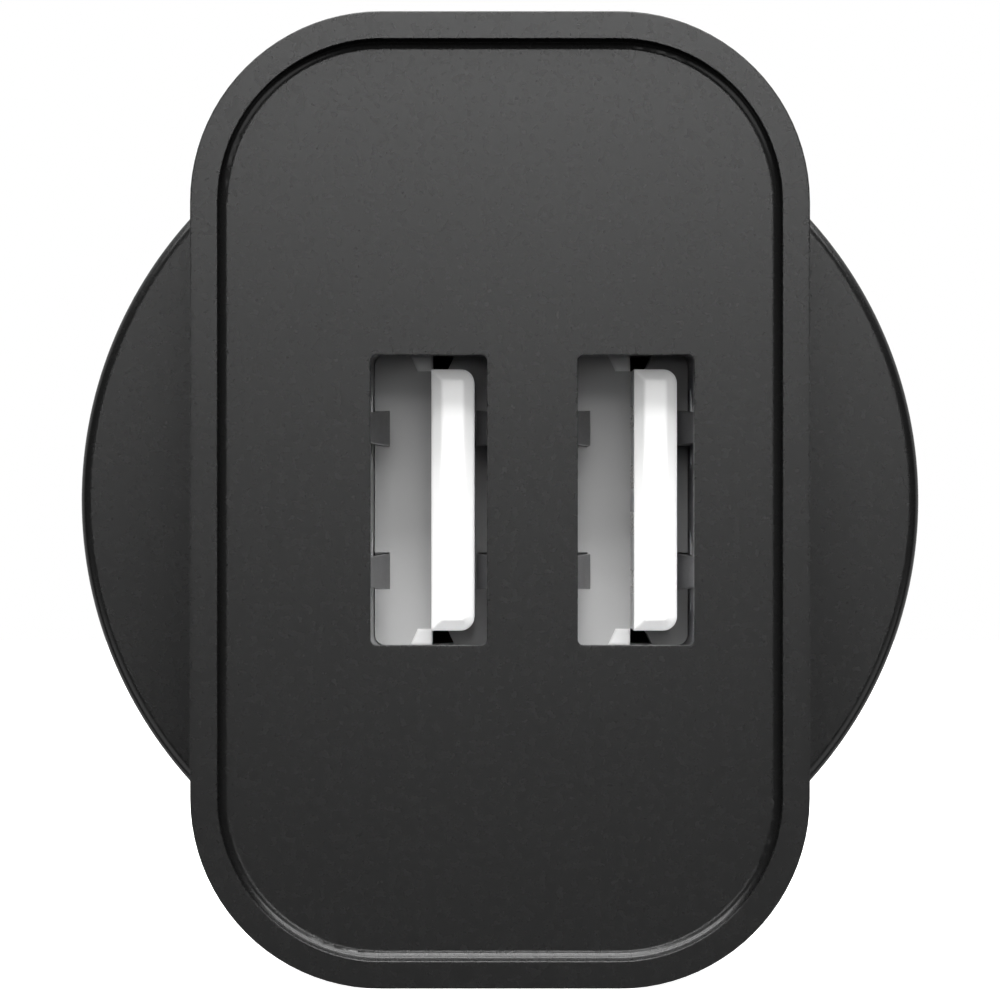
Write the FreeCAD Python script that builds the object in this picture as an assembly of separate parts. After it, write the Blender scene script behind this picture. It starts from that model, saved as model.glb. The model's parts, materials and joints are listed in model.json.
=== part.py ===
import FreeCAD, Part
import os

# Wall charger with two USB sockets and a round mains plug body.
# Frame: origin at the centre of the plug face between the pins, +X to the right as seen from the
# socket side, +Y into the wall along the pins, +Z up. Millimetres.

Vector = FreeCAD.Vector
AXIS_X = Vector(1, 0, 0)
AXIS_Y = Vector(0, 1, 0)
AXIS_Z = Vector(0, 0, 1)
SIDES = (-1, 1)

# Front block and its recessed panel
BLOCK_WIDTH = 26.0
BLOCK_HEIGHT = 41.0
BLOCK_CORNER = 8.0
BLOCK_FRONT_Y = -41.0
BLOCK_BACK_Y = -18.0
WALL = 1.5
RIM_WIDTH = 1.16
RIM_OUTER_ROUND = 0.05
RIM_INNER_ROUND = 0.04
RECESS_DEPTH = 0.9
RECESS_FILLET = 0.4
PANEL_THICKNESS = 1.4
PARTING_Y = -22.0
SEAM_CHAMFER = 0.15
BACK_EDGE_ROUND = 0.6
LIP_LENGTH = 2.0
LIP_THICKNESS = 1.1
LIP_CLEARANCE = 0.05
FLOOR_THICKNESS = 1.6

PANEL_Y = BLOCK_FRONT_Y + RECESS_DEPTH
PANEL_BACK_Y = PANEL_Y + PANEL_THICKNESS
FLOOR_Y = BLOCK_BACK_Y - FLOOR_THICKNESS

# Socket windows in the panel
WINDOW_WIDTH = 4.9
WINDOW_HEIGHT = 12.22
WINDOW_CORNER = 0.25
WINDOW_EDGE_ROUND = 0.03
WINDOW_X = {"left": -3.0, "right": 5.72}

# Flange and plug body
FLANGE_RADIUS = 18.75
FLANGE_BACK_Y = -15.5
FLANGE_FRONT_ROUND = 0.45
FLANGE_BACK_ROUND = 0.3
PLUG_RADIUS_AT_FLANGE = 18.4
PLUG_RADIUS_AT_FACE = 18.1
PLUG_FACE_ROUND = 0.8
GUIDE_NOTCH_WIDTH = 6.0
GUIDE_NOTCH_DEPTH = 3.0
EARTH_CLIP_WIDTH = 7.0
EARTH_CLIP_DEPTH = 3.3
CUP_HALF = 13.2
CUP_CORNER = 6.0
CUP_START_Y = -16.2
NECK_CORNER = 4.0
FACE_THICKNESS = 1.6
EARTH_BORE_RADIUS = 2.7
EARTH_BORE_DEPTH = 14.6
EARTH_BORE_Z = 10.0
EARTH_TUBE_WALL = 1.1

# Contact pins
PIN_RADIUS = 2.4
PIN_LENGTH = 19.0
PIN_PITCH = 19.0
PIN_TIP_ROUND = 1.6
PIN_ROOT_RADIUS = 2.65
PIN_HOLE_CLEARANCE = 0.05
PIN_COLLAR_RADIUS = 3.4
PIN_COLLAR_LENGTH = 1.2
PIN_SHANK_RADIUS = 1.6
PIN_HEAD_RADIUS = 2.3
PIN_HEAD_LENGTH = 0.8
PIN_X = {"left": -PIN_PITCH / 2, "right": PIN_PITCH / 2}

# Pin retainer, heat stakes and contact strips
RETAINER_THICKNESS = 1.2
RETAINER_HALF_WIDTH = 12.4
RETAINER_HALF_HEIGHT = 8.4
RETAINER_CORNER = 3.0
STAKE_X = 4.6
STAKE_Z = 6.8
STAKE_RADIUS = 1.0
STAKE_HEAD_RADIUS = 1.6
STAKE_HEAD_LENGTH = 0.6
INNER_CLEARANCE = 0.1
STRIP_THICKNESS = 0.4
STRIP_WIDTH = 2.0
STRIP_TAIL_END_Y = -9.4
STRIP_LANE_Z = 3.3

COLLAR_Y = -FACE_THICKNESS - PIN_COLLAR_LENGTH
RETAINER_Y = COLLAR_Y - RETAINER_THICKNESS
STRIP_Y = RETAINER_Y - STRIP_THICKNESS
PIN_HEAD_Y = STRIP_Y - PIN_HEAD_LENGTH

# Main board, standing on its edge to the left of the sockets
BOARD_BACK_X = -8.1
BOARD_THICKNESS = 1.6
BOARD_FRONT_Y = -38.0
BOARD_STEP_Y = -24.3
BOARD_REAR_Y = -6.5
BOARD_WIDE_HALF = 17.5
BOARD_NARROW_HALF = 12.3
BOARD_X = BOARD_BACK_X + BOARD_THICKNESS
RAIL_THICKNESS = 1.0
RAIL_REACH = 16.6
LEAD_RADIUS = 0.3
LEAD_HOLE_RADIUS = 0.38
SOLDER_RADIUS = 0.75
SOLDER_HEIGHT = 0.5
SEAT = 0.2

# USB sockets
SOCKET_X = {"left": -2.94, "right": 5.66}
SOCKET_WIDTH = 5.12
SOCKET_HEIGHT = 12.7
SOCKET_CORNER = 0.5
SHEET = 0.3
SOCKET_FRONT_Y = PANEL_BACK_Y + 0.1
SOCKET_BASE_Y = -28.0
SOCKET_REAR_Y = -24.6
SPINE_REAR_Y = -21.4
TONGUE_THICKNESS = 1.84
TONGUE_WIDTH = 11.1
TONGUE_OFFSET = 0.94
TONGUE_FRONT_Y = -37.0
TONGUE_REAR_Y = -25.4
TONGUE_BEVEL = 0.46
TONGUE_CORNER = 0.6
KEY_WEB = 1.0
NOTCH_HALF_WIDE = 0.97
NOTCH_HALF_NARROW = 0.64
NOTCH_HEIGHT = 0.7
KEY_RISE = 0.3
CONTACT_Z = (-3.5, -1.0, 1.0, 3.5)
CONTACT_WIDTH = 1.0
CONTACT_THICKNESS = 0.25
CONTACT_FRONT_Y = -35.9
CONTACT_DROP_Y = {"left": -24.1, "right": -22.3}
SLOT_FRONT_Y = -36.4
SLOT_REAR_Y = -30.6
SLOT_HALF_FRONT = 0.85
SLOT_HALF_REAR = 1.75
SPRING_Z = 3.08
SPRING_ROOT_WIDTH = 1.24
SPRING_WIDTH = 1.5
SPRING_CREST_Y = -32.9
SPRING_TIP_Y = -31.3
SPRING_TIP_RETURN = 0.3
SPRING_RISE = {"open": 0.78, "tongue": 0.62}
POCKET_HALF = 0.8
POCKET_SETBACK = 0.08
POCKET_DEPTH = 2.0

NOTCH_OUTER_Z = SOCKET_HEIGHT / 2 - INNER_CLEARANCE / 2
NOTCH_INNER_Z = NOTCH_OUTER_Z - NOTCH_HEIGHT

# Transformer behind the sockets, windings wrapped round the middle leg along Y
CORE_CENTRE_X = 1.3
CORE_CENTRE_Y = -14.1
CORE_WIDTH = 13.2
CORE_LENGTH = 12.0
CORE_HEIGHT = 6.0
CORE_BACK = 2.0
CORE_SIDE_LEG = 2.2
CORE_MIDDLE_RADIUS = 1.7
BOBBIN_BORE = 1.85
BOBBIN_TUBE = 2.4
BOBBIN_FLANGE_THICKNESS = 0.8
BOBBIN_FLANGE_HALF_X = 4.2
BOBBIN_FLANGE_HALF_Z = 5.6
BOBBIN_FOOT_Z = 3.1
PRIMARY_RADIUS = 3.4
SECONDARY_RADIUS = 3.9
TAPE_RADIUS = 4.1
CORE_TAPE_THICKNESS = 0.15

# Capacitors standing on the board, centres in Y and Z
BULK_RADIUS = 3.5
BULK_LENGTH = 13.5
BULK_CENTRES = ((-34.2, 13.0), (-27.0, 13.0))
OUTPUT_RADIUS = 3.15
OUTPUT_LENGTH = 11.5
OUTPUT_CENTRES = ((-34.4, -12.6), (-27.8, -12.6))
CAN_ROUND = 0.5
CAN_GROOVE_HEIGHT = 1.6
CAN_GROOVE_RADIUS = 0.45
CAN_LEAD_HALF_PITCH = 1.25

# Other parts on the component side
Y_CAP_RADIUS = 3.4
Y_CAP_THICKNESS = 2.6
Y_CAP_ROUND = 0.9
Y_CAP_Y = -19.8
Y_CAP_Z = 9.6
CHOKE_RADIUS = 3.5
CHOKE_WINDING_RADIUS = 3.1
CHOKE_CORE_RADIUS = 1.6
CHOKE_LENGTH = 8.0
CHOKE_FLANGE = 1.1
CHOKE_Y = -11.6
CHOKE_Z = -9.4
FUSE_RADIUS = 1.7
FUSE_LENGTH = 8.0
FUSE_Y = -18.4
FUSE_Z = -9.6
FUSE_END_ROUND = 0.5
FUSE_LOOP = 2.6

# Parts on the solder side: corner in Y and Z, then length in Y, width in Z, height off the board
BRIDGE = (-16.6, -1.95, 4.7, 3.9, 1.6)
CONTROLLER = (-16.8, 5.6, 4.9, 3.9, 1.5)
RECTIFIER_IC = (-23.2, -10.2, 3.9, 4.9, 1.5)
PORT_IC = (-30.4, -1.5, 1.6, 2.9, 1.1)
IC_LEG_REACH = 0.9
IC_LEG_WIDTH = 0.4
IC_LEG_THICKNESS = 0.2
CHIP_LENGTH = 1.6
CHIP_WIDTH = 0.8
RESISTOR_HEIGHT = 0.45
CHIP_CAPACITOR_HEIGHT = 0.8
RESISTOR_ROW_Y = -33.5
RESISTOR_ROW_Z = 8.6
CHIP_CAPACITOR_ROW_Y = -33.5
CHIP_CAPACITOR_ROW_Z = -9.4
CHIP_ROW_PITCH = 2.2
RESISTOR_COUNT = 6
CHIP_CAPACITOR_COUNT = 5

# Insulating sheet between the solder side and the wall
SHEET_X = -11.35
SHEET_THICKNESS = 0.25
SHEET_HALF_HEIGHT = 11.0
SHEET_FRONT_Y = -37.6
SHEET_REAR_Y = -24.6


def block(x_range, y_range, z_range):
    """Box between three pairs of limits."""
    low = Vector(min(x_range), min(y_range), min(z_range))
    high = Vector(max(x_range), max(y_range), max(z_range))
    size = high - low
    return Part.makeBox(size.x, size.y, size.z, low)


def rod_y(radius, y_from, y_to, x=0.0, z=0.0):
    """Cylinder along Y."""
    return Part.makeCylinder(radius, y_to - y_from, Vector(x, y_from, z), AXIS_Y)


def rod_x(radius, x_from, x_to, y, z):
    """Cylinder along X."""
    return Part.makeCylinder(radius, x_to - x_from, Vector(x_from, y, z), AXIS_X)


def rounded_prism(half_x, half_z, corner, y_from, y_to, x=0.0, z=0.0):
    """Rounded rectangle in XZ, pushed along Y."""
    prism = block((x - half_x, x + half_x), (y_from, y_to), (z - half_z, z + half_z))
    return prism.makeFillet(corner, edges_along(prism, AXIS_Y))


def edges_along(shape, axis):
    """Straight edges parallel to an axis."""
    found = []
    for edge in shape.Edges:
        if isinstance(edge.Curve, Part.Line) and abs(edge.Curve.Direction.dot(axis)) > 0.999:
            found.append(edge)
    return found


def edges_at_y(shape, y, reach=None):
    """Edges that lie in the plane at y, within reach of the Y axis if it is given."""
    found = []
    for edge in shape.Edges:
        box = edge.BoundBox
        in_plane = abs(box.YMin - y) < 1e-4 and abs(box.YMax - y) < 1e-4
        near = reach is None or max(abs(box.XMin), abs(box.XMax)) < reach
        if in_plane and near:
            found.append(edge)
    return found


def prism_z(points, z_from, z_to):
    """Polygon of (x, y) points pushed along Z."""
    corners = [Vector(x, y, z_from) for x, y in points]
    face = Part.Face(Part.makePolygon(corners + corners[:1]))
    return face.extrude(Vector(0, 0, z_to - z_from))


def prism_y(points, y_from, y_to):
    """Polygon of (x, z) points pushed along Y."""
    corners = [Vector(x, y_from, z) for x, z in points]
    face = Part.Face(Part.makePolygon(corners + corners[:1]))
    return face.extrude(Vector(0, y_to - y_from, 0))


def prism_x(points, x_from, x_to):
    """Polygon of (y, z) points pushed along X."""
    corners = [Vector(x_from, y, z) for y, z in points]
    face = Part.Face(Part.makePolygon(corners + corners[:1]))
    return face.extrude(Vector(x_to - x_from, 0, 0))


def front_shell():
    """Sleeve of the block with the recessed panel, its two windows and the board rails."""
    half_x = BLOCK_WIDTH / 2
    half_z = BLOCK_HEIGHT / 2
    shell = rounded_prism(half_x, half_z, BLOCK_CORNER, BLOCK_FRONT_Y, PARTING_Y)
    shell = shell.makeFillet(RIM_OUTER_ROUND, edges_at_y(shell, BLOCK_FRONT_Y))
    shell = shell.makeChamfer(SEAM_CHAMFER, edges_at_y(shell, PARTING_Y))
    recess = rounded_prism(half_x - RIM_WIDTH, half_z - RIM_WIDTH, BLOCK_CORNER - RIM_WIDTH,
                           BLOCK_FRONT_Y, PANEL_Y)
    recess = recess.makeFillet(RECESS_FILLET, edges_at_y(recess, PANEL_Y))
    shell = shell.cut(recess)
    shell = shell.makeFillet(RIM_INNER_ROUND, edges_at_y(shell, BLOCK_FRONT_Y, half_x - RIM_WIDTH / 2))
    cavity = rounded_prism(half_x - WALL, half_z - WALL, BLOCK_CORNER - WALL, PANEL_BACK_Y, PARTING_Y)
    shell = shell.cut(cavity)
    for x in WINDOW_X.values():
        shell = shell.cut(rounded_prism(WINDOW_WIDTH / 2, WINDOW_HEIGHT / 2, WINDOW_CORNER,
                                        PANEL_Y, PANEL_BACK_Y, x))
    window_reach = WINDOW_X["right"] + WINDOW_WIDTH
    window_edges = []
    for edge in edges_at_y(shell, PANEL_Y, window_reach):
        if max(abs(edge.BoundBox.ZMin), abs(edge.BoundBox.ZMax)) < WINDOW_HEIGHT:
            window_edges.append(edge)
    shell = shell.makeFillet(WINDOW_EDGE_ROUND, window_edges)
    return shell.fuse(board_rails(cavity))


def board_rails(cavity):
    """Pairs of ribs on the end walls that grip the long edges of the board."""
    lanes = ((BOARD_BACK_X - INNER_CLEARANCE - RAIL_THICKNESS, BOARD_BACK_X - INNER_CLEARANCE),
             (BOARD_X + INNER_CLEARANCE, BOARD_X + INNER_CLEARANCE + RAIL_THICKNESS))
    rear_y = PARTING_Y - LIP_LENGTH - INNER_CLEARANCE
    rails = []
    for side in SIDES:
        for lane in lanes:
            rib = block(lane, (PANEL_BACK_Y, rear_y), (side * RAIL_REACH, side * BLOCK_HEIGHT / 2))
            rails.append(rib.common(cavity))
    return rails


def plug_cylinder():
    """Slightly tapered plug body with guide notches at the sides and earth clip flats at the ends."""
    plug = Part.makeCone(PLUG_RADIUS_AT_FLANGE, PLUG_RADIUS_AT_FACE, -FLANGE_BACK_Y,
                         Vector(0, FLANGE_BACK_Y, 0), AXIS_Y)
    plug = plug.makeFillet(PLUG_FACE_ROUND, edges_at_y(plug, 0.0))
    far = FLANGE_RADIUS
    for side in SIDES:
        notch_x = side * (PLUG_RADIUS_AT_FLANGE - GUIDE_NOTCH_DEPTH)
        clip_z = side * (PLUG_RADIUS_AT_FLANGE - EARTH_CLIP_DEPTH)
        half_notch = GUIDE_NOTCH_WIDTH / 2
        half_clip = EARTH_CLIP_WIDTH / 2
        plug = plug.cut(block((notch_x, side * far), (FLANGE_BACK_Y, 0.0), (-half_notch, half_notch)))
        plug = plug.cut(block((-half_clip, half_clip), (FLANGE_BACK_Y, 0.0), (clip_z, side * far)))
    return plug


def rear_shell():
    """Back of the block, flange and plug body in one moulding, open towards the sockets."""
    half_x = BLOCK_WIDTH / 2
    half_z = BLOCK_HEIGHT / 2
    tray = rounded_prism(half_x, half_z, BLOCK_CORNER, PARTING_Y, BLOCK_BACK_Y)
    tray = tray.makeFillet(BACK_EDGE_ROUND, edges_at_y(tray, BLOCK_BACK_Y))
    tray = tray.makeChamfer(SEAM_CHAMFER, edges_at_y(tray, PARTING_Y))
    lip_inset = WALL + LIP_CLEARANCE
    lip = rounded_prism(half_x - lip_inset, half_z - lip_inset, BLOCK_CORNER - lip_inset,
                        PARTING_Y - LIP_LENGTH, BLOCK_BACK_Y - FLOOR_THICKNESS / 2)
    flange = rod_y(FLANGE_RADIUS, BLOCK_BACK_Y, FLANGE_BACK_Y)
    flange = flange.makeFillet(FLANGE_FRONT_ROUND, edges_at_y(flange, BLOCK_BACK_Y))
    flange = flange.makeFillet(FLANGE_BACK_ROUND, edges_at_y(flange, FLANGE_BACK_Y))
    shell = tray.fuse([lip, flange, plug_cylinder()])
    inset = lip_inset + LIP_THICKNESS
    tray_hollow = rounded_prism(half_x - inset, half_z - inset, BLOCK_CORNER - inset,
                                PARTING_Y - LIP_LENGTH, FLOOR_Y)
    neck = rounded_prism(half_x - inset, CUP_HALF, NECK_CORNER, FLOOR_Y, CUP_START_Y)
    cup = rounded_prism(CUP_HALF, CUP_HALF, CUP_CORNER, CUP_START_Y, -FACE_THICKNESS)
    shell = shell.cut(tray_hollow.fuse([neck, cup]))
    shell = shell.fuse([earth_tube()] + stakes())
    shell = shell.cut(rod_y(EARTH_BORE_RADIUS, -EARTH_BORE_DEPTH, 0.0, 0.0, EARTH_BORE_Z))
    for x in PIN_X.values():
        shell = shell.cut(rod_y(PIN_ROOT_RADIUS + PIN_HOLE_CLEARANCE, -FACE_THICKNESS, 0.0, x))
    return shell.removeSplitter()


def earth_tube():
    """Wall of the blind hole that clears the earth pin of a French socket."""
    return rod_y(EARTH_BORE_RADIUS + EARTH_TUBE_WALL, -EARTH_BORE_DEPTH - EARTH_TUBE_WALL,
                 -FACE_THICKNESS / 2, 0.0, EARTH_BORE_Z)


def stakes():
    """Two heat-formed studs that hold the pin retainer."""
    made = []
    for side in SIDES:
        stem = rod_y(STAKE_RADIUS, RETAINER_Y - STAKE_HEAD_LENGTH / 2, -FACE_THICKNESS / 2,
                     side * STAKE_X, -STAKE_Z)
        head = rod_y(STAKE_HEAD_RADIUS, RETAINER_Y - STAKE_HEAD_LENGTH, RETAINER_Y,
                     side * STAKE_X, -STAKE_Z)
        made.append(stem.fuse(head))
    return made


def pin_retainer():
    """Insulating plate that clamps the pin collars against the plug face wall."""
    plate = rounded_prism(RETAINER_HALF_WIDTH, RETAINER_HALF_HEIGHT, RETAINER_CORNER,
                          RETAINER_Y, COLLAR_Y)
    tube_gap = EARTH_BORE_RADIUS + EARTH_TUBE_WALL + INNER_CLEARANCE
    plate = plate.cut(rod_y(tube_gap, RETAINER_Y, COLLAR_Y, 0.0, EARTH_BORE_Z))
    for x in PIN_X.values():
        plate = plate.cut(rod_y(PIN_SHANK_RADIUS + INNER_CLEARANCE, RETAINER_Y, COLLAR_Y, x))
    for side in SIDES:
        plate = plate.cut(rod_y(STAKE_RADIUS + INNER_CLEARANCE, RETAINER_Y, COLLAR_Y,
                                side * STAKE_X, -STAKE_Z))
    return plate


def contact_pin(x):
    """Round mains pin with a thicker root, an inner collar, a thin shank and a riveted head."""
    blade = rod_y(PIN_RADIUS, 0.0, PIN_LENGTH, x)
    blade = blade.makeFillet(PIN_TIP_ROUND, edges_at_y(blade, PIN_LENGTH))
    root = rod_y(PIN_ROOT_RADIUS, -FACE_THICKNESS, 0.0, x)
    collar = rod_y(PIN_COLLAR_RADIUS, COLLAR_Y, -FACE_THICKNESS, x)
    shank = rod_y(PIN_SHANK_RADIUS, PIN_HEAD_Y, COLLAR_Y, x)
    head = rod_y(PIN_HEAD_RADIUS, PIN_HEAD_Y, STRIP_Y, x)
    return blade.fuse([root, collar, shank, head])


def contact_strip(side_name):
    """Bent brass strip from a pin's shank to the board."""
    x = PIN_X[side_name]
    lane = STRIP_LANE_Z if side_name == "left" else -STRIP_LANE_Z
    lane_z = (lane - STRIP_WIDTH / 2, lane + STRIP_WIDTH / 2)
    y_range = (STRIP_Y, RETAINER_Y)
    if side_name == "left":
        tail_x = BOARD_BACK_X - STRIP_THICKNESS - SEAT / 2
    else:
        tail_x = BOARD_X + SEAT / 2
    eye = block((x - PIN_HEAD_RADIUS, x + PIN_HEAD_RADIUS), y_range, (-PIN_HEAD_RADIUS, PIN_HEAD_RADIUS))
    reach = block((x - PIN_HEAD_RADIUS, x + PIN_HEAD_RADIUS), y_range, (0.0, lane_z[lane > 0]))
    bridge = block((tail_x, x + PIN_HEAD_RADIUS), y_range, lane_z)
    tail_end = STRIP_TAIL_END_Y if side_name == "left" else BOARD_REAR_Y - STRIP_WIDTH / 2
    tail = block((tail_x, tail_x + STRIP_THICKNESS), (tail_end, RETAINER_Y), lane_z)
    strip = eye.fuse([reach, bridge, tail])
    hole = rod_y(PIN_SHANK_RADIUS + INNER_CLEARANCE / 2, STRIP_Y, RETAINER_Y, x)
    return strip.cut(hole).removeSplitter()


def usb_shell(x):
    """Folded steel socket shell with two springs in each wide wall."""
    outer = rounded_prism(SOCKET_WIDTH / 2 + SHEET, SOCKET_HEIGHT / 2 + SHEET, SOCKET_CORNER + SHEET,
                          SOCKET_FRONT_Y, SOCKET_REAR_Y, x)
    inner = rounded_prism(SOCKET_WIDTH / 2, SOCKET_HEIGHT / 2, SOCKET_CORNER,
                          SOCKET_FRONT_Y, SOCKET_REAR_Y, x)
    shell = outer.cut(inner)
    for side in SIDES:
        wall = x + side * SOCKET_WIDTH / 2
        for row in SIDES:
            shell = shell.cut(spring_slot(wall, side, row * SPRING_Z))
            shell = shell.fuse(spring(wall, side, row * SPRING_Z))
    return shell


def spring_slot(wall, side, z):
    """Opening in a wide wall, wider towards the back, in which a spring lies."""
    outline = ((SLOT_FRONT_Y, z - SLOT_HALF_FRONT), (SLOT_REAR_Y, z - SLOT_HALF_REAR),
               (SLOT_REAR_Y, z + SLOT_HALF_REAR), (SLOT_FRONT_Y, z + SLOT_HALF_FRONT))
    return prism_x(outline, wall - side * SHEET, wall + 2 * side * SHEET)


def spring_rise(side):
    """How far a spring stands into the socket, by the wall that it grows from."""
    return SPRING_RISE["open"] if side < 0 else SPRING_RISE["tongue"]


def spring(wall, side, z):
    """Contact spring rooted at the front of its slot, wider towards its crest, tip turned back."""
    inward = -side
    crest = wall + inward * spring_rise(side)
    tip = crest - inward * SPRING_TIP_RETURN
    outside = -inward * SHEET
    outline = ((wall, SLOT_FRONT_Y - SHEET), (wall, SLOT_FRONT_Y), (crest, SPRING_CREST_Y),
               (tip, SPRING_TIP_Y), (tip + outside, SPRING_TIP_Y), (crest + outside, SPRING_CREST_Y),
               (wall + outside, SLOT_FRONT_Y), (wall + outside, SLOT_FRONT_Y - SHEET))
    blade = prism_z(outline, z - SPRING_WIDTH / 2, z + SPRING_WIDTH / 2)
    root_y = SLOT_FRONT_Y - SHEET
    taper = ((root_y, z - SPRING_ROOT_WIDTH / 2), (SPRING_CREST_Y, z - SPRING_WIDTH / 2),
             (SPRING_TIP_Y, z - SPRING_WIDTH / 2), (SPRING_TIP_Y, z + SPRING_WIDTH / 2),
             (SPRING_CREST_Y, z + SPRING_WIDTH / 2), (root_y, z + SPRING_ROOT_WIDTH / 2))
    return blade.common(prism_x(taper, wall - SOCKET_WIDTH / 2, wall + SOCKET_WIDTH / 2))


def tongue(x):
    """Socket tongue with a bevelled nose, rounded away from the contacts, and keyed at its root."""
    centre = x + TONGUE_OFFSET
    half_x = TONGUE_THICKNESS / 2
    half_z = TONGUE_WIDTH / 2
    body = block((centre - half_x, centre + half_x), (TONGUE_FRONT_Y, TONGUE_REAR_Y), (-half_z, half_z))
    outer_edges = [edge for edge in edges_along(body, AXIS_Y) if edge.BoundBox.XMin > centre]
    body = body.makeFillet(TONGUE_CORNER, outer_edges)
    body = body.makeChamfer(TONGUE_BEVEL, edges_at_y(body, TONGUE_FRONT_Y))
    return body.fuse(tongue_keys(x)).removeSplitter()


def tongue_keys(x):
    """Keys that fill the left half of each notch in the base, joined to the tongue inside it."""
    keys = []
    for side in SIDES:
        keys.append(prism_y(notch_outline(x, side, -1, 0), SOCKET_BASE_Y - KEY_RISE, TONGUE_REAR_Y))
        keys.append(block((x - NOTCH_HALF_NARROW, x + TONGUE_OFFSET),
                          (TONGUE_REAR_Y - KEY_WEB, TONGUE_REAR_Y),
                          (side * (TONGUE_WIDTH / 2 - KEY_WEB), side * NOTCH_INNER_Z)))
    return keys


def notch_outline(x, side, left, right):
    """Tapered notch at one end of a base plug, between two places from -1, its left, to 1."""
    return ((x + left * NOTCH_HALF_WIDE, side * NOTCH_OUTER_Z),
            (x + right * NOTCH_HALF_WIDE, side * NOTCH_OUTER_Z),
            (x + right * NOTCH_HALF_NARROW, side * NOTCH_INNER_Z),
            (x + left * NOTCH_HALF_NARROW, side * NOTCH_INNER_Z))


def usb_contacts(side_name):
    """Four plated strips on the tongue's open face that turn down to the board."""
    tongue_face = SOCKET_X[side_name] + TONGUE_OFFSET - TONGUE_THICKNESS / 2
    drop_y = CONTACT_DROP_Y[side_name]
    strips = []
    for z in CONTACT_Z:
        lane = (z - CONTACT_WIDTH / 2, z + CONTACT_WIDTH / 2)
        blade = block((tongue_face, tongue_face + CONTACT_THICKNESS), (CONTACT_FRONT_Y, drop_y), lane)
        pin_lane = (z - CONTACT_WIDTH / 4, z + CONTACT_WIDTH / 4)
        drop = block((BOARD_BACK_X, tongue_face + CONTACT_THICKNESS),
                     (drop_y - CONTACT_THICKNESS, drop_y), pin_lane)
        strips.append(blade.fuse(drop))
    return strips


def usb_insulator(filled):
    """Moulded block behind both sockets with a base plug in each shell. Half of each notch is open."""
    gap = INNER_CLEARANCE / 2
    spine_right = SOCKET_X["right"] + SOCKET_WIDTH / 2 + SHEET
    spine_half = SOCKET_HEIGHT / 2 + SHEET
    body = block((BOARD_X + gap, spine_right), (SOCKET_REAR_Y + gap, SPINE_REAR_Y),
                 (-spine_half, spine_half))
    for x in SOCKET_X.values():
        base = rounded_prism(SOCKET_WIDTH / 2 - gap, SOCKET_HEIGHT / 2 - gap, SOCKET_CORNER - gap,
                             SOCKET_BASE_Y, SOCKET_REAR_Y + 2 * gap, x)
        body = body.fuse(base.cut(spring_pockets(x)))
        for side in SIDES:
            body = body.cut(prism_y(notch_outline(x, side, 0, 1), SOCKET_BASE_Y, SPINE_REAR_Y))
    for piece in filled:
        body = body.cut(piece)
    return body.removeSplitter()


def spring_pockets(x):
    """Pockets in a base plug, one behind each spring."""
    pockets = []
    for side in SIDES:
        wall = x + side * SOCKET_WIDTH / 2
        reach = wall - side * (spring_rise(side) - POCKET_SETBACK)
        for row in SIDES:
            z = row * SPRING_Z
            pockets.append(block((wall, reach), (SOCKET_BASE_Y, SOCKET_BASE_Y + POCKET_DEPTH),
                                 (z - POCKET_HALF, z + POCKET_HALF)))
    return pockets


def core_half(end):
    """One E-shaped ferrite half: end is -1 for the half nearer the sockets, 1 for the other."""
    join_y = CORE_CENTRE_Y
    far_y = join_y + end * CORE_LENGTH / 2
    back_y = far_y - end * CORE_BACK
    half_x = CORE_WIDTH / 2
    half_z = CORE_HEIGHT / 2
    half = block((CORE_CENTRE_X - half_x, CORE_CENTRE_X + half_x), (far_y, back_y), (-half_z, half_z))
    for side in SIDES:
        outer = CORE_CENTRE_X + side * half_x
        half = half.fuse(block((outer, outer - side * CORE_SIDE_LEG), (join_y, back_y), (-half_z, half_z)))
    middle = rod_y(CORE_MIDDLE_RADIUS, min(join_y, back_y), max(join_y, back_y), CORE_CENTRE_X)
    return half.fuse(middle).removeSplitter()


def winding_window():
    """Y limits between the two core backs, less a small gap."""
    reach = CORE_LENGTH / 2 - CORE_BACK - INNER_CLEARANCE
    return CORE_CENTRE_Y - reach, CORE_CENTRE_Y + reach


def bobbin():
    """Coil former with two flanges, four feet and eight pins."""
    low_y, high_y = winding_window()
    former = rod_y(BOBBIN_TUBE, low_y, high_y, CORE_CENTRE_X)
    for flange_y in (low_y, high_y - BOBBIN_FLANGE_THICKNESS):
        y_range = (flange_y, flange_y + BOBBIN_FLANGE_THICKNESS)
        half_x = BOBBIN_FLANGE_HALF_X
        former = former.fuse(block((CORE_CENTRE_X - half_x, CORE_CENTRE_X + half_x), y_range,
                                   (-BOBBIN_FLANGE_HALF_Z, BOBBIN_FLANGE_HALF_Z)))
        for side in SIDES:
            foot_z = (side * BOBBIN_FOOT_Z, side * BOBBIN_FLANGE_HALF_Z)
            foot = block((BOARD_X + SEAT, CORE_CENTRE_X - half_x), y_range, foot_z)
            former = former.fuse(foot)
    former = former.cut(rod_y(BOBBIN_BORE, low_y, high_y, CORE_CENTRE_X))
    for y, z in bobbin_pins():
        former = former.fuse(rod_x(LEAD_RADIUS, BOARD_BACK_X, BOARD_X + 2 * SEAT, y, z))
    return former.removeSplitter()


def bobbin_pins():
    """Board positions of the transformer pins."""
    low_y, high_y = winding_window()
    inset = BOBBIN_FLANGE_THICKNESS / 2
    spots = []
    for y in (low_y + inset, high_y - inset):
        for side in SIDES:
            for z in (BOBBIN_FOOT_Z + inset, BOBBIN_FLANGE_HALF_Z - inset):
                spots.append((y, side * z))
    return spots


def coil(inner, outer):
    """Winding layer between the bobbin flanges."""
    low_y, high_y = winding_window()
    gap = BOBBIN_FLANGE_THICKNESS
    ring = rod_y(outer, low_y + gap, high_y - gap, CORE_CENTRE_X)
    return ring.cut(rod_y(inner, low_y + gap, high_y - gap, CORE_CENTRE_X))


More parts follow.
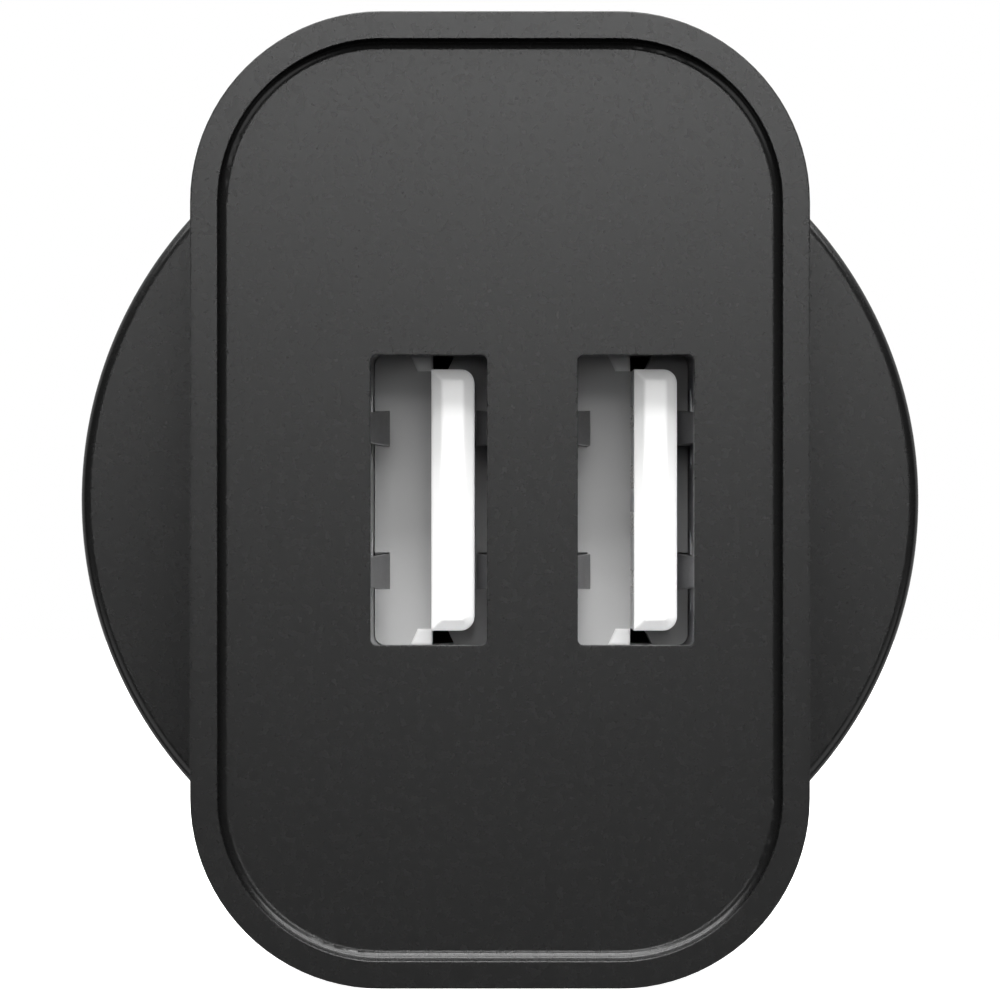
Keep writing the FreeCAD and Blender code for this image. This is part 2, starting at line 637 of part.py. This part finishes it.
def core_tape():
    """Band of tape round the outside of both core halves."""
    half_x = CORE_WIDTH / 2
    half_y = CORE_LENGTH / 2
    half_z = CORE_HEIGHT / 4
    inner = block((CORE_CENTRE_X - half_x, CORE_CENTRE_X + half_x),
                  (CORE_CENTRE_Y - half_y, CORE_CENTRE_Y + half_y), (-half_z, half_z))
    thick = CORE_TAPE_THICKNESS
    outer = block((CORE_CENTRE_X - half_x - thick, CORE_CENTRE_X + half_x + thick),
                  (CORE_CENTRE_Y - half_y - thick, CORE_CENTRE_Y + half_y + thick), (-half_z, half_z))
    return outer.cut(inner)


def can_capacitor(radius, length, centre):
    """Radial electrolytic capacitor standing on the board, crimped near its base."""
    y, z = centre
    start = BOARD_X + SEAT
    can = rod_x(radius, start, start + length, y, z)
    can = can.makeFillet(CAN_ROUND, can.Edges)
    groove = Part.makeTorus(radius, CAN_GROOVE_RADIUS, Vector(start + CAN_GROOVE_HEIGHT, y, z), AXIS_X)
    can = can.cut(groove)
    for lead_y, lead_z in can_leads(centre):
        can = can.fuse(rod_x(LEAD_RADIUS, BOARD_BACK_X, start + SEAT, lead_y, lead_z))
    return can


def can_leads(centre):
    """Board positions of a capacitor's two leads."""
    y, z = centre
    return [(y + side * CAN_LEAD_HALF_PITCH, z) for side in SIDES]


def y_capacitor():
    """Round ceramic safety capacitor standing across the isolation gap."""
    centre_x = BOARD_X + Y_CAP_RADIUS + 2 * SEAT
    disc = rod_y(Y_CAP_RADIUS, Y_CAP_Y - Y_CAP_THICKNESS / 2, Y_CAP_Y + Y_CAP_THICKNESS / 2,
                 centre_x, Y_CAP_Z)
    disc = disc.makeFillet(Y_CAP_ROUND, disc.Edges)
    for y, z in y_cap_leads():
        disc = disc.fuse(rod_x(LEAD_RADIUS, BOARD_BACK_X, BOARD_X + Y_CAP_RADIUS, y, z))
    return disc


def y_cap_leads():
    """Board positions of the safety capacitor's leads."""
    return [(Y_CAP_Y, Y_CAP_Z + side * Y_CAP_RADIUS / 2) for side in SIDES]


def input_choke_core():
    """Ferrite drum with leads."""
    start = BOARD_X + SEAT
    end = start + CHOKE_LENGTH
    drum = rod_x(CHOKE_CORE_RADIUS, start, end, CHOKE_Y, CHOKE_Z)
    drum = drum.fuse([rod_x(CHOKE_RADIUS, start, start + CHOKE_FLANGE, CHOKE_Y, CHOKE_Z),
                      rod_x(CHOKE_RADIUS, end - CHOKE_FLANGE, end, CHOKE_Y, CHOKE_Z)])
    for y, z in choke_leads():
        drum = drum.fuse(rod_x(LEAD_RADIUS, BOARD_BACK_X, start + SEAT, y, z))
    return drum


def input_choke_winding():
    """Wire wound on the drum."""
    start = BOARD_X + SEAT + CHOKE_FLANGE
    end = start + CHOKE_LENGTH - 2 * CHOKE_FLANGE
    ring = rod_x(CHOKE_WINDING_RADIUS, start, end, CHOKE_Y, CHOKE_Z)
    return ring.cut(rod_x(CHOKE_CORE_RADIUS, start, end, CHOKE_Y, CHOKE_Z))


def choke_leads():
    """Board positions of the drum's leads."""
    return [(CHOKE_Y + side * CHOKE_CORE_RADIUS, CHOKE_Z) for side in SIDES]


def fuse_resistor():
    """Fusible resistor standing on end, its top lead bent back down to the board."""
    start = BOARD_X + 2 * SEAT
    end = start + FUSE_LENGTH
    body = rod_x(FUSE_RADIUS, start, end, FUSE_Y, FUSE_Z)
    body = body.makeFillet(FUSE_END_ROUND, body.Edges)
    corner = LEAD_RADIUS * 2
    top = end + LEAD_RADIUS * 3
    far_z = FUSE_Z + FUSE_LOOP
    near_bend = Vector(top - corner, FUSE_Y, FUSE_Z)
    bend_low = Vector(top, FUSE_Y, FUSE_Z + corner)
    run_end = Vector(top, FUSE_Y, far_z - corner)
    bend_far = Vector(top - corner, FUSE_Y, far_z)
    middle = corner * 0.5 ** 0.5
    path = Part.Wire([
        Part.LineSegment(Vector(end - SEAT, FUSE_Y, FUSE_Z), near_bend).toShape(),
        Part.Arc(near_bend, Vector(top - corner + middle, FUSE_Y, FUSE_Z + corner - middle),
                 bend_low).toShape(),
        Part.LineSegment(bend_low, run_end).toShape(),
        Part.Arc(run_end, Vector(top - corner + middle, FUSE_Y, far_z - corner + middle),
                 bend_far).toShape(),
        Part.LineSegment(bend_far, Vector(BOARD_BACK_X, FUSE_Y, far_z)).toShape()])
    section = Part.Wire(Part.makeCircle(LEAD_RADIUS, path.Vertexes[0].Point, AXIS_X))
    loop = path.makePipeShell([section], True, True)
    short_lead = rod_x(LEAD_RADIUS, BOARD_BACK_X, start + SEAT, FUSE_Y, FUSE_Z)
    return body.fuse([loop, short_lead])


def fuse_leads():
    """Board positions of the fusible resistor's leads."""
    return [(FUSE_Y, FUSE_Z), (FUSE_Y, FUSE_Z + FUSE_LOOP)]


def lead_positions():
    """Every round lead that passes through the board."""
    spots = bobbin_pins() + y_cap_leads() + choke_leads() + fuse_leads()
    for centre in BULK_CENTRES + OUTPUT_CENTRES:
        spots += can_leads(centre)
    return spots


def contact_leads():
    """Board positions of the socket contacts."""
    spots = []
    for drop_y in CONTACT_DROP_Y.values():
        spots += [(drop_y - CONTACT_THICKNESS / 2, z) for z in CONTACT_Z]
    return spots


def main_board(contacts):
    """Board outline, wide between the sockets and narrow in the plug, with its lead holes."""
    x_range = (BOARD_BACK_X, BOARD_X)
    board = block(x_range, (BOARD_FRONT_Y, BOARD_STEP_Y), (-BOARD_WIDE_HALF, BOARD_WIDE_HALF))
    board = board.fuse(block(x_range, (BOARD_STEP_Y, BOARD_REAR_Y),
                             (-BOARD_NARROW_HALF, BOARD_NARROW_HALF)))
    board = board.removeSplitter()
    for y, z in lead_positions():
        board = board.cut(rod_x(LEAD_HOLE_RADIUS, BOARD_BACK_X, BOARD_X, y, z))
    return board.cut(contacts)


def solder_joints():
    """Solder cone on each lead."""
    joints = []
    for y, z in lead_positions() + contact_leads():
        joints.append(Part.makeCone(SOLDER_RADIUS, LEAD_RADIUS, SOLDER_HEIGHT,
                                    Vector(BOARD_BACK_X, y, z), -AXIS_X))
    return joints


def chip_package(place, leg_count):
    """Flat package on the solder side with gull-wing legs along both long edges."""
    y, z, length, width, height = place
    underside_x = BOARD_BACK_X - SEAT / 2
    package = block((underside_x - height, underside_x), (y, y + length), (z, z + width))
    pitch = length / leg_count
    for index in range(leg_count):
        leg_y = y + pitch * (index + 0.5)
        y_range = (leg_y - IC_LEG_WIDTH / 2, leg_y + IC_LEG_WIDTH / 2)
        x_range = (underside_x - IC_LEG_THICKNESS, underside_x)
        package = package.fuse(block(x_range, y_range, (z - IC_LEG_REACH, z + width + IC_LEG_REACH)))
    return package


def chip_row(count, row_y, row_z, height):
    """Row of two-terminal chips on the solder side."""
    chips = []
    for index in range(count):
        y = row_y + index * CHIP_ROW_PITCH
        chips.append(block((BOARD_BACK_X - SEAT / 2 - height, BOARD_BACK_X - SEAT / 2),
                           (y, y + CHIP_WIDTH), (row_z, row_z + CHIP_LENGTH)))
    return chips


def insulation_sheet():
    """Thin sheet between the solder side and the wall of the block."""
    return block((SHEET_X, SHEET_X + SHEET_THICKNESS), (SHEET_FRONT_Y, SHEET_REAR_Y),
                 (-SHEET_HALF_HEIGHT, SHEET_HALF_HEIGHT))


def build_nodes():
    """Name and shape of every node."""
    contacts = {name: usb_contacts(name) for name in SOCKET_X}
    tongues = {name: tongue(x) for name, x in SOCKET_X.items()}
    all_contacts = contacts["left"] + contacts["right"]
    nodes = {
        "front_shell": front_shell(),
        "rear_shell": rear_shell(),
        "pin_retainer": pin_retainer(),
        "usb_insulator": usb_insulator(all_contacts + list(tongues.values())),
        "main_board": main_board(all_contacts),
        "transformer_core_front": core_half(-1),
        "transformer_core_rear": core_half(1),
        "transformer_bobbin": bobbin(),
        "primary_winding": coil(BOBBIN_TUBE, PRIMARY_RADIUS),
        "secondary_winding": coil(PRIMARY_RADIUS, SECONDARY_RADIUS),
        "winding_tape": coil(SECONDARY_RADIUS, TAPE_RADIUS),
        "core_tape": core_tape(),
        "y_capacitor": y_capacitor(),
        "input_choke_core": input_choke_core(),
        "input_choke_winding": input_choke_winding(),
        "fuse_resistor": fuse_resistor(),
        "bridge_rectifier": chip_package(BRIDGE, 2),
        "controller_ic": chip_package(CONTROLLER, 4),
        "sync_rectifier_ic": chip_package(RECTIFIER_IC, 4),
        "port_control_ic": chip_package(PORT_IC, 3),
        "chip_resistors": Part.makeCompound(chip_row(RESISTOR_COUNT, RESISTOR_ROW_Y, RESISTOR_ROW_Z,
                                                     RESISTOR_HEIGHT)),
        "chip_capacitors": Part.makeCompound(chip_row(CHIP_CAPACITOR_COUNT, CHIP_CAPACITOR_ROW_Y,
                                                      CHIP_CAPACITOR_ROW_Z, CHIP_CAPACITOR_HEIGHT)),
        "solder_joints": Part.makeCompound(solder_joints()),
        "insulation_sheet": insulation_sheet(),
    }
    for name in SOCKET_X:
        nodes["contact_pin_" + name] = contact_pin(PIN_X[name])
        nodes["contact_strip_" + name] = contact_strip(name)
        nodes["usb_shell_" + name] = usb_shell(SOCKET_X[name])
        nodes["usb_tongue_" + name] = tongues[name].cut(contacts[name])
        nodes["usb_contacts_" + name] = Part.makeCompound(contacts[name])
    for index, centre in enumerate(BULK_CENTRES, 1):
        nodes["bulk_capacitor_%d" % index] = can_capacitor(BULK_RADIUS, BULK_LENGTH, centre)
    for index, centre in enumerate(OUTPUT_CENTRES, 1):
        nodes["output_capacitor_%d" % index] = can_capacitor(OUTPUT_RADIUS, OUTPUT_LENGTH, centre)
    return nodes


def main():
    os.makedirs("parts", exist_ok=True)
    for name, shape in build_nodes().items():
        shape.exportStep("parts/%s.step" % name)
        print(name, len(shape.Solids), round(shape.Volume, 2), shape.isValid())


main()
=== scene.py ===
"""Looks of the USB wall charger: materials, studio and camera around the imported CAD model."""
import json
import math

import bpy
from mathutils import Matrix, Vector


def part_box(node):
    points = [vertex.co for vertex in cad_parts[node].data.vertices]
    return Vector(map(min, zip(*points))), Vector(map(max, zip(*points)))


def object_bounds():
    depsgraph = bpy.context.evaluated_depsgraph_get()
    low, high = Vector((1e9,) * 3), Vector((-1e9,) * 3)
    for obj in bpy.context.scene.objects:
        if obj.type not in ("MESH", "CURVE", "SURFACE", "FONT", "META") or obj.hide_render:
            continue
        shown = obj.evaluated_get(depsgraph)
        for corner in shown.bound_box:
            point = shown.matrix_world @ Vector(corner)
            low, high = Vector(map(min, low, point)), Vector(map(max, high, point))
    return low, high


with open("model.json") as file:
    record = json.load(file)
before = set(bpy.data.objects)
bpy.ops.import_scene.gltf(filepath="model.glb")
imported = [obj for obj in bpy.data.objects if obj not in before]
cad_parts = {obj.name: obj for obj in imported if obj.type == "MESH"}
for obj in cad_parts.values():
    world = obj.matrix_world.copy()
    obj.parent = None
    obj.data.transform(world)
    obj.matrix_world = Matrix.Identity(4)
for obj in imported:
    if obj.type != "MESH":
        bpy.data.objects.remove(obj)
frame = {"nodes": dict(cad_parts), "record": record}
CAD_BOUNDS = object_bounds()

MM = 0.001

# Camera: straight on, level with the middle of the plug face
CAMERA_DISTANCE_TO_RIM = 341 * MM
SENSOR_WIDTH = 36.0
VIEW_WIDTH_AT_RIM = 41.93 * MM

# Light panels on a circle round the block's face, in millimetres and degrees
BAND_RADIUS = 700.0
BAND_CENTRE_Y = -40.0
LIGHT_TURN = 1.5

# Half widths of the panels, and how far the sheens stand to each side, in degrees
NARROW = 9.0
FILL = 10.0
WIDE = 45.0
SHEEN_HALF_WIDTH = 22.0
SHEEN_TURN = 42.0

# Room and floor: sides in metres, brightness from 0, black, to 1, white, places along Y from -1 to 1
FLOOR_SIZE = 1.6
FLOOR_GLOW = 1.0
FLOOR_ALBEDO = 0.6
ROOM_GREY_IN_FRONT = 0.0
ROOM_GREY_BEHIND = 0.8
ROOM_GREY_START = -0.10
ROOM_GREY_END = 0.15
BACKDROP_WHITE = 1.0

# The middle of a noise texture's range, where nearly all its values lie
NOISE_LOW = 0.3
NOISE_HIGH = 0.7

# Printed tracks of the circuit board, in millimetres
TRACK_WIDTH = 0.09
TRACK_RUN = 2.7
TRACK_PITCH = 0.9

BEVEL_SAMPLES = 8


# ---------------------------------------------------------------- node helpers

def new_material(name):
    """Empty material with a shader and an output. Returns the material, its tree and the shader."""
    material = bpy.data.materials.new(name)
    material.use_nodes = True
    tree = material.node_tree
    tree.nodes.clear()
    output = tree.nodes.new("ShaderNodeOutputMaterial")
    shader = tree.nodes.new("ShaderNodeBsdfPrincipled")
    tree.links.new(shader.outputs["BSDF"], output.inputs["Surface"])
    return material, tree, shader


def object_point(tree, stretch=(1.0, 1.0, 1.0)):
    """Object coordinates in millimetres, stretched along each axis."""
    coordinates = tree.nodes.new("ShaderNodeTexCoord")
    mapping = tree.nodes.new("ShaderNodeMapping")
    mapping.inputs["Scale"].default_value = [factor / MM for factor in stretch]
    tree.links.new(coordinates.outputs["Object"], mapping.inputs["Vector"])
    return mapping.outputs["Vector"]


def noise(tree, point, scale, detail=3.0, roughness=0.5):
    """Noise whose scale is in features per millimetre."""
    texture = tree.nodes.new("ShaderNodeTexNoise")
    texture.inputs["Scale"].default_value = scale
    texture.inputs["Detail"].default_value = detail
    texture.inputs["Roughness"].default_value = roughness
    tree.links.new(point, texture.inputs["Vector"])
    return texture.outputs["Fac"]


def spread(tree, value, low, high, from_low=NOISE_LOW, from_high=NOISE_HIGH):
    """Value mapped to low..high from a range, which is a noise's own unless another is given."""
    node = tree.nodes.new("ShaderNodeMapRange")
    node.inputs["From Min"].default_value = from_low
    node.inputs["From Max"].default_value = from_high
    node.inputs["To Min"].default_value = low
    node.inputs["To Max"].default_value = high
    tree.links.new(value, node.inputs["Value"])
    return node.outputs["Result"]


def tint(tree, value, dark, light):
    """Colour from dark to light as a value crosses a noise's range."""
    ramp = tree.nodes.new("ShaderNodeValToRGB")
    ramp.color_ramp.elements[0].position = NOISE_LOW
    ramp.color_ramp.elements[0].color = (*dark, 1.0)
    ramp.color_ramp.elements[1].position = NOISE_HIGH
    ramp.color_ramp.elements[1].color = (*light, 1.0)
    tree.links.new(value, ramp.inputs["Fac"])
    return ramp.outputs["Color"]


def add_bump(tree, shader, height, depth_mm, before=None):
    """Bump of a given depth in millimetres, on top of another one if it is given."""
    bump = tree.nodes.new("ShaderNodeBump")
    bump.inputs["Distance"].default_value = depth_mm * MM
    bump.inputs["Strength"].default_value = 1.0
    tree.links.new(height, bump.inputs["Height"])
    if before is not None:
        tree.links.new(before, bump.inputs["Normal"])
    tree.links.new(bump.outputs["Normal"], shader.inputs["Normal"])
    return bump.outputs["Normal"]


def rounded_edges(tree, radius_mm):
    """Normal that turns smoothly over the edges, or nothing if there is no radius."""
    if radius_mm is None:
        return None
    bevel = tree.nodes.new("ShaderNodeBevel")
    bevel.samples = BEVEL_SAMPLES
    bevel.inputs["Radius"].default_value = radius_mm * MM
    return bevel.outputs["Normal"]


def scaled(colour, factor):
    """Colour made lighter or darker."""
    return tuple(min(1.0, channel * factor) for channel in colour)


# ---------------------------------------------------------------- materials

def moulded_plastic(name, colour, roughness, grain_depth, grain=7.0, mottle=0.06, gloss_change=0.04,
                    edge_round_mm=None):
    """Moulded plastic: fine grain, slow gloss changes, a trace of mottling, edges rounded if asked."""
    material, tree, shader = new_material(name)
    point = object_point(tree)
    slow = noise(tree, point, 0.12, 2.0)
    grain_fine = noise(tree, point, grain, 4.0, 0.6)
    grain_broad = noise(tree, point, grain / 3.5, 2.0)
    tree.links.new(tint(tree, slow, scaled(colour, 1 - mottle), scaled(colour, 1 + mottle)),
                   shader.inputs["Base Color"])
    tree.links.new(spread(tree, grain_broad, roughness - gloss_change, roughness + gloss_change),
                   shader.inputs["Roughness"])
    first = add_bump(tree, shader, grain_fine, grain_depth, rounded_edges(tree, edge_round_mm))
    add_bump(tree, shader, grain_broad, grain_depth * 0.6, first)
    return material


def rolled_metal(name, colour, roughness, stretch, depth=0.0015, metallic=1.0):
    """Metal with drawing or turning lines across the stretched axis."""
    material, tree, shader = new_material(name)
    shader.inputs["Metallic"].default_value = metallic
    lines = noise(tree, object_point(tree, stretch), 1.0, 5.0, 0.65)
    blotches = noise(tree, object_point(tree), 0.6, 3.0)
    tree.links.new(tint(tree, blotches, scaled(colour, 0.92), scaled(colour, 1.05)),
                   shader.inputs["Base Color"])
    tree.links.new(spread(tree, lines, roughness - 0.07, roughness + 0.09), shader.inputs["Roughness"])
    add_bump(tree, shader, lines, depth)
    return material


def speckled(name, colour, roughness, grain, depth, contrast=0.25):
    """Fired or sintered body with a visible grain."""
    material, tree, shader = new_material(name)
    point = object_point(tree)
    specks = noise(tree, point, grain, 6.0, 0.7)
    tree.links.new(tint(tree, specks, scaled(colour, 1 - contrast), scaled(colour, 1 + contrast)),
                   shader.inputs["Base Color"])
    tree.links.new(spread(tree, specks, roughness - 0.08, roughness + 0.08), shader.inputs["Roughness"])
    add_bump(tree, shader, specks, depth)
    return material


def wound_wire(name, colour, roughness, wire_mm, axis):
    """Rows of enamelled wire side by side along an axis, with painted shade in the grooves between them.
    """
    material, tree, shader = new_material(name)
    shader.inputs["Metallic"].default_value = 0.9
    wave = tree.nodes.new("ShaderNodeTexWave")
    wave.wave_type = "BANDS"
    wave.bands_direction = axis
    # One band for each wire: the bands repeat every pi / (10 * scale)
    wave.inputs["Scale"].default_value = math.pi / (10.0 * wire_mm)
    wave.inputs["Distortion"].default_value = 0.6
    wave.inputs["Detail"].default_value = 1.0
    tree.links.new(object_point(tree), wave.inputs["Vector"])
    turns = wave.outputs["Fac"]
    # Painted shade: the colour darkens to 0.45 of the copper in the grooves between the wires
    tree.links.new(tint(tree, turns, scaled(colour, 0.45), colour), shader.inputs["Base Color"])
    tree.links.new(spread(tree, turns, roughness + 0.15, roughness), shader.inputs["Roughness"])
    add_bump(tree, shader, turns, wire_mm / 3)
    return material


def circuit_board(name):
    """Green solder mask over tracks, which show as raised, lighter lines."""
    material, tree, shader = new_material(name)
    point = object_point(tree)
    brick = tree.nodes.new("ShaderNodeTexBrick")
    brick.inputs["Scale"].default_value = 1.0
    brick.inputs["Mortar Size"].default_value = TRACK_WIDTH
    brick.inputs["Mortar Smooth"].default_value = 0.2
    brick.inputs["Brick Width"].default_value = TRACK_RUN
    brick.inputs["Row Height"].default_value = TRACK_PITCH
    axes = tree.nodes.new("ShaderNodeSeparateXYZ")
    board_plane = tree.nodes.new("ShaderNodeCombineXYZ")
    tree.links.new(point, axes.inputs["Vector"])
    tree.links.new(axes.outputs["Y"], board_plane.inputs["X"])
    tree.links.new(axes.outputs["Z"], board_plane.inputs["Y"])
    tree.links.new(board_plane.outputs["Vector"], brick.inputs["Vector"])
    weave = noise(tree, point, 3.0, 3.0)
    tracks = brick.outputs["Fac"]
    tree.links.new(tint(tree, tracks, (0.012, 0.085, 0.030), (0.040, 0.190, 0.075)),
                   shader.inputs["Base Color"])
    tree.links.new(spread(tree, weave, 0.28, 0.42), shader.inputs["Roughness"])
    first = add_bump(tree, shader, tracks, 0.03)
    add_bump(tree, shader, weave, 0.004, first)
    return material


def build_materials():
    """One material per slot of the record."""
    return {
        "black_housing": moulded_plastic("black_housing", (0.004, 0.004, 0.004), 0.27, 0.00012, 9.0,
                                         gloss_change=0.012),
        "retainer_plastic": moulded_plastic("retainer_plastic", (0.030, 0.030, 0.031), 0.55, 0.003),
        "nickel_pins": rolled_metal("nickel_pins", (0.62, 0.60, 0.56), 0.24, (0.15, 14.0, 0.15),
                                    0.0003),
        "brass_strip": rolled_metal("brass_strip", (0.72, 0.52, 0.22), 0.30, (8.0, 8.0, 0.3)),
        "socket_steel": rolled_metal("socket_steel", (0.50, 0.50, 0.51), 0.40, (9.0, 0.4, 9.0),
                                     metallic=0.75),
        # Painted shade: grey, a darker copy of the tongue's white insulator plastic, standing in for the
        # shade deep in the sockets
        "socket_insulator": moulded_plastic("socket_insulator", (0.48, 0.48, 0.48), 0.55, 0.0015,
                                            mottle=0.02),
        "tongue_plastic": moulded_plastic("tongue_plastic", (0.90, 0.90, 0.895), 0.32, 0.0006,
                                          mottle=0.01, edge_round_mm=0.22),
        "contact_plating": rolled_metal("contact_plating", (0.66, 0.64, 0.61), 0.26, (9.0, 0.5, 9.0)),
        "board": circuit_board("board"),
        "solder": rolled_metal("solder", (0.70, 0.71, 0.73), 0.20, (1.2, 1.2, 1.2), 0.01),
        "ferrite": speckled("ferrite", (0.060, 0.060, 0.065), 0.52, 6.0, 0.010),
        "bobbin_plastic": moulded_plastic("bobbin_plastic", (0.022, 0.022, 0.022), 0.48, 0.003),
        "copper_wire": wound_wire("copper_wire", (0.60, 0.22, 0.07), 0.26, 0.22, "Y"),
        "yellow_tape": moulded_plastic("yellow_tape", (0.72, 0.50, 0.04), 0.25, 0.002),
        "capacitor_can": moulded_plastic("capacitor_can", (0.018, 0.024, 0.040), 0.30, 0.003),
        "blue_ceramic": speckled("blue_ceramic", (0.03, 0.13, 0.42), 0.30, 2.0, 0.012, 0.12),
        "resistor_body": speckled("resistor_body", (0.28, 0.45, 0.34), 0.45, 3.0, 0.010, 0.10),
        "chip_epoxy": moulded_plastic("chip_epoxy", (0.020, 0.020, 0.021), 0.60, 0.006),
        "chip_resistor": speckled("chip_resistor", (0.05, 0.05, 0.05), 0.35, 5.0, 0.004),
        "chip_ceramic": speckled("chip_ceramic", (0.50, 0.36, 0.22), 0.45, 5.0, 0.004),
        "insulation_film": speckled("insulation_film", (0.62, 0.58, 0.44), 0.70, 2.5, 0.012, 0.10),
    }


def dress_cad_nodes(materials):
    """Put each slot's material on its CAD nodes."""
    for subpart in frame["record"]["subparts"]:
        node = frame["nodes"][subpart["node"]]
        material = materials[subpart["material_slot"]]
        for slot in node.material_slots:
            slot.material = material


# ---------------------------------------------------------------- studio

def aim(obj, target):
    """Turn an object's -Z axis towards a point."""
    direction = Vector(target) - obj.location
    obj.rotation_euler = direction.to_track_quat("-Z", "Y").to_euler()


def add_area_light(name, location_mm, target_mm, size_mm, power):
    """Rectangular soft light."""
    data = bpy.data.lights.new(name, "AREA")
    data.shape = "RECTANGLE"
    data.size = size_mm[0] * MM
    data.size_y = size_mm[1] * MM
    data.energy = power
    light = bpy.data.objects.new(name, data)
    light.location = [value * MM for value in location_mm]
    bpy.context.scene.collection.objects.link(light)
    aim(light, [value * MM for value in target_mm])
    return light


def add_band(name, low, high, half_width, power, turn=LIGHT_TURN, only_diffuse=False, only_gloss=False):
    """Light panel on the circle, between two elevations seen from the face, its power in watts."""
    middle = math.radians((low + high) / 2)
    turn = math.radians(turn)
    out = BAND_RADIUS * math.cos(middle)
    place = (out * math.sin(turn), BAND_CENTRE_Y - out * math.cos(turn), BAND_RADIUS * math.sin(middle))
    size = (2 * BAND_RADIUS * math.tan(math.radians(half_width)), BAND_RADIUS * math.radians(high - low))
    light = add_area_light(name, place, (0.0, BAND_CENTRE_Y, 0.0), size, power)
    light.visible_glossy = not only_diffuse
    light.visible_diffuse = not only_gloss
    light.visible_camera = False


def build_lights():
    """Stack of panels from just above the lens to overhead, fills without gloss, two low sheens."""
    add_band("key_low", 7, 10, NARROW, 0.44)
    add_band("key_mid", 10, 14, NARROW, 0.12)
    add_band("key_high", 32, 40, NARROW, 1.8)
    add_band("top_front", 50, 66, WIDE, 7.5)
    add_band("top_over", 80, 96, WIDE, 11.0)
    add_band("fill_level", 0, 5, FILL, 0.62, only_diffuse=True)
    add_band("fill_above", 5, 15, FILL, 0.95, only_diffuse=True)
    add_band("fill_raised", 15, 25, FILL, 1.10, only_diffuse=True)
    add_band("fill_high", 25, 40, FILL, 0.80, only_diffuse=True)
    add_band("fill_top", 40, 60, FILL, 2.20, only_diffuse=True)
    for name, side in (("sheen_left", -1), ("sheen_right", 1)):
        add_band(name, -42, -12, SHEEN_HALF_WIDTH, 0.7, side * SHEEN_TURN, only_gloss=True)


def build_world():
    """White to the camera. To everything else, a dark room in front and a pale one behind."""
    world = bpy.data.worlds.new("studio")
    world.use_nodes = True
    tree = world.node_tree
    tree.nodes.clear()
    output = tree.nodes.new("ShaderNodeOutputWorld")
    direction = tree.nodes.new("ShaderNodeTexCoord")
    axes = tree.nodes.new("ShaderNodeSeparateXYZ")
    tree.links.new(direction.outputs["Generated"], axes.inputs["Vector"])
    grey = spread(tree, axes.outputs["Y"], ROOM_GREY_IN_FRONT, ROOM_GREY_BEHIND,
                  ROOM_GREY_START, ROOM_GREY_END)
    room = tree.nodes.new("ShaderNodeBackground")
    tree.links.new(grey, room.inputs["Strength"])
    white = tree.nodes.new("ShaderNodeBackground")
    white.inputs["Color"].default_value = (1.0, 1.0, 1.0, 1.0)
    white.inputs["Strength"].default_value = BACKDROP_WHITE
    path = tree.nodes.new("ShaderNodeLightPath")
    mix = tree.nodes.new("ShaderNodeMixShader")
    tree.links.new(path.outputs["Is Camera Ray"], mix.inputs["Fac"])
    tree.links.new(room.outputs["Background"], mix.inputs[1])
    tree.links.new(white.outputs["Background"], mix.inputs[2])
    tree.links.new(mix.outputs["Shader"], output.inputs["Surface"])
    bpy.context.scene.world = world


def floor_material():
    """Pale floor that glows, so that it matches the backdrop. Its underside is clear."""
    material = bpy.data.materials.new("floor")
    material.use_nodes = True
    tree = material.node_tree
    tree.nodes.clear()
    output = tree.nodes.new("ShaderNodeOutputMaterial")
    glow = tree.nodes.new("ShaderNodeEmission")
    glow.inputs["Strength"].default_value = FLOOR_GLOW
    surface = tree.nodes.new("ShaderNodeBsdfDiffuse")
    surface.inputs["Color"].default_value = (FLOOR_ALBEDO, FLOOR_ALBEDO, FLOOR_ALBEDO, 1.0)
    both = tree.nodes.new("ShaderNodeAddShader")
    clear = tree.nodes.new("ShaderNodeBsdfTransparent")
    geometry = tree.nodes.new("ShaderNodeNewGeometry")
    mix = tree.nodes.new("ShaderNodeMixShader")
    tree.links.new(glow.outputs["Emission"], both.inputs[0])
    tree.links.new(surface.outputs["BSDF"], both.inputs[1])
    tree.links.new(geometry.outputs["Backfacing"], mix.inputs["Fac"])
    tree.links.new(both.outputs["Shader"], mix.inputs[1])
    tree.links.new(clear.outputs["BSDF"], mix.inputs[2])
    tree.links.new(mix.outputs["Shader"], output.inputs["Surface"])
    return material


def build_floor():
    """Large plane under the block's flat end. The camera sees it, and it neither lights nor shades."""
    half = FLOOR_SIZE / 2
    height = CAD_BOUNDS[0][2]
    mesh = bpy.data.meshes.new("floor")
    corners = [(x, y, height) for x, y in ((-half, -half), (half, -half), (half, half), (-half, half))]
    mesh.from_pydata(corners, [], [(0, 1, 2, 3)])
    floor = bpy.data.objects.new("floor", mesh)
    floor.data.materials.append(floor_material())
    bpy.context.scene.collection.objects.link(floor)
    floor.visible_diffuse = False
    floor.visible_glossy = False
    floor.visible_shadow = False


def build_camera():
    """Level camera on the Y axis, looking into the sockets."""
    rim_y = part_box("front_shell")[0].y
    data = bpy.data.cameras.new("camera")
    data.sensor_width = SENSOR_WIDTH
    data.lens = SENSOR_WIDTH * CAMERA_DISTANCE_TO_RIM / VIEW_WIDTH_AT_RIM
    camera = bpy.data.objects.new("camera", data)
    camera.location = (0.0, rim_y - CAMERA_DISTANCE_TO_RIM, 0.0)
    bpy.context.scene.collection.objects.link(camera)
    aim(camera, (0.0, 0.0, 0.0))
    bpy.context.scene.camera = camera


def main():
    bpy.context.scene.view_settings.view_transform = "Standard"
    build_camera()
    build_world()
    build_floor()
    build_lights()
    dress_cad_nodes(build_materials())


main()
